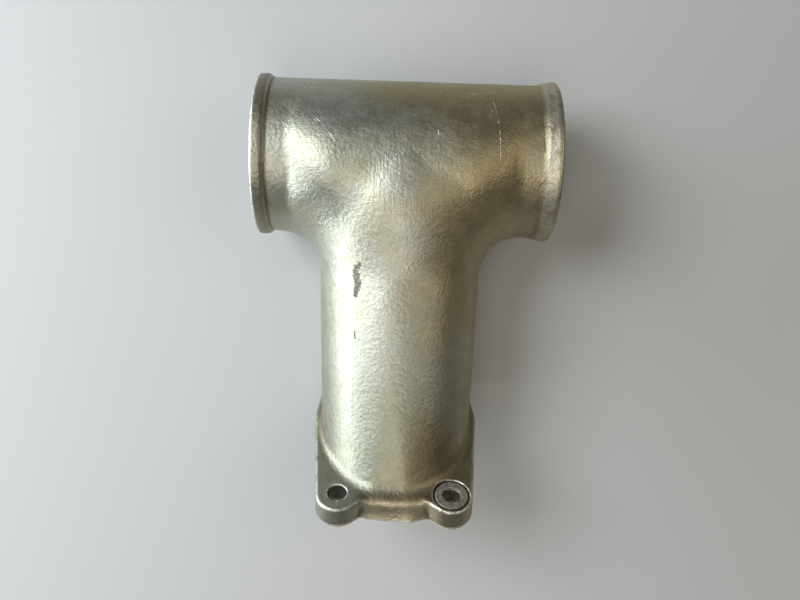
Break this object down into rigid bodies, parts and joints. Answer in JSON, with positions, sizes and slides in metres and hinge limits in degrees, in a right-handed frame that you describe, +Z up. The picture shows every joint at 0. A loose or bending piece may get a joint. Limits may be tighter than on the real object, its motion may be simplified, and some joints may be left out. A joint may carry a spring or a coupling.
{
  "type": "tee fitting",
  "caption": "Cast light-alloy tee pipe: a straight run with a raised hose bead at each open end, and a branch that ends in an oblique bolted flange.",
  "frame": {"origin": "middle of the bottom of the bounding box, on the ground that the two hose beads and the heel of the flange lie on", "axes": "+X along the run, +Y from the flange toward the run, so the branch points to -Y, +Z up, away from the ground"},
  "size_m": [0.1222, 0.1814, 0.0707],
  "materials": {
    "cast_alloy": "sand cast, chemically treated to a pale gold green, satin",
    "gasket_paper": "fibrous jointing, matt",
    "washer_steel": "dull, lightly corroded"
  },
  "bodies": {
    "root": {"tee_casting": "cast_alloy", "flange_gasket": "gasket_paper", "toe_bolt_washer": "washer_steel"}
  },
  "joints": []
}
